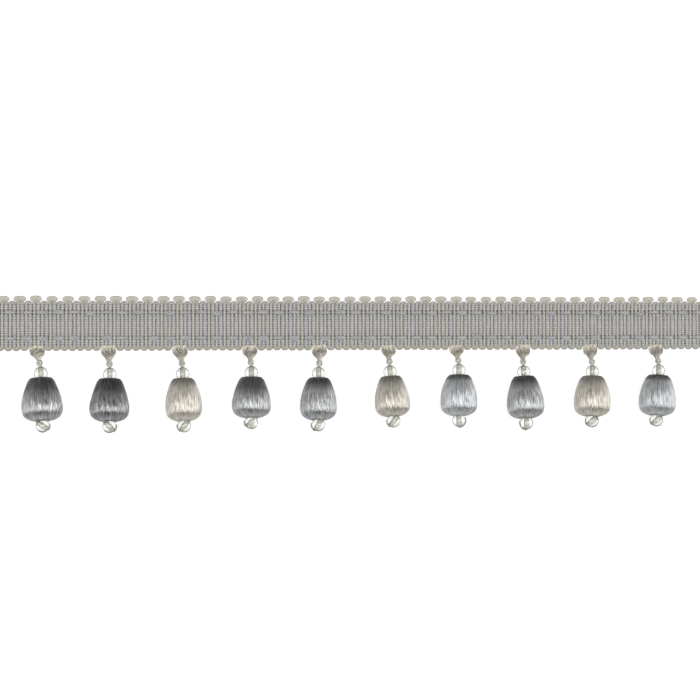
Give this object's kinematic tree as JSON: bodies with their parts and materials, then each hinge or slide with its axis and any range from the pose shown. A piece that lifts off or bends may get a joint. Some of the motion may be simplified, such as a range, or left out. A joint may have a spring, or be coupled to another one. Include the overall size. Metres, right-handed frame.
{
  "type": "beaded fringe trim",
  "caption": "Looped woven braid heading with a row of satin-wound pear drops, each hung on a gathered cord between clear glass beads, lying flat on its back.",
  "frame": {"origin": "middle of the heading's flat back, half way along the cut length and midway between the two binder bands", "axes": "+X along the heading, +Y from the drops towards the picots, +Z out of the front"},
  "size_m": [0.329, 0.0617, 0.0178],
  "materials": {
    "weft_cord": "twisted cream gimp cord, matt",
    "warp_yarn": "lavender grey yarn, soft sheen",
    "binder_yarn": "blue-grey yarn, soft sheen",
    "hanger_cord": "twisted taupe cream cord, matt",
    "clear_glass": "pressed and fire-polished",
    "grey_satin": "lengthwise wound satin yarn, bright sheen",
    "champagne_satin": "lengthwise wound satin yarn, bright sheen"
  },
  "bodies": {
    "root": {"heading": "weft_cord", "hanger_cord_1": "hanger_cord", "seed_bead_1": "clear_glass", "upper_bead_1": "clear_glass", "drop_1": "grey_satin", "stopper_bead_1": "clear_glass", "hanger_cord_2": "hanger_cord", "seed_bead_2": "clear_glass", "upper_bead_2": "clear_glass", "drop_2": "grey_satin", "stopper_bead_2": "clear_glass", "hanger_cord_3": "hanger_cord", "seed_bead_3": "clear_glass", "upper_bead_3": "clear_glass", "drop_3": "champagne_satin", "stopper_bead_3": "clear_glass", "hanger_cord_4": "hanger_cord", "seed_bead_4": "clear_glass", "upper_bead_4": "clear_glass", "drop_4": "grey_satin", "stopper_bead_4": "clear_glass", "hanger_cord_5": "hanger_cord", "seed_bead_5": "clear_glass", "upper_bead_5": "clear_glass", "drop_5": "grey_satin", "stopper_bead_5": "clear_glass", "hanger_cord_6": "hanger_cord", "seed_bead_6": "clear_glass", "upper_bead_6": "clear_glass", "drop_6": "champagne_satin", "stopper_bead_6": "clear_glass", "hanger_cord_7": "hanger_cord", "seed_bead_7": "clear_glass", "upper_bead_7": "clear_glass", "drop_7": "grey_satin", "stopper_bead_7": "clear_glass", "hanger_cord_8": "hanger_cord", "seed_bead_8": "clear_glass", "upper_bead_8": "clear_glass", "drop_8": "grey_satin", "stopper_bead_8": "clear_glass", "hanger_cord_9": "hanger_cord", "seed_bead_9": "clear_glass", "upper_bead_9": "clear_glass", "drop_9": "champagne_satin", "stopper_bead_9": "clear_glass", "hanger_cord_10": "hanger_cord", "seed_bead_10": "clear_glass", "upper_bead_10": "clear_glass", "drop_10": "grey_satin", "stopper_bead_10": "clear_glass"}
  },
  "joints": []
}
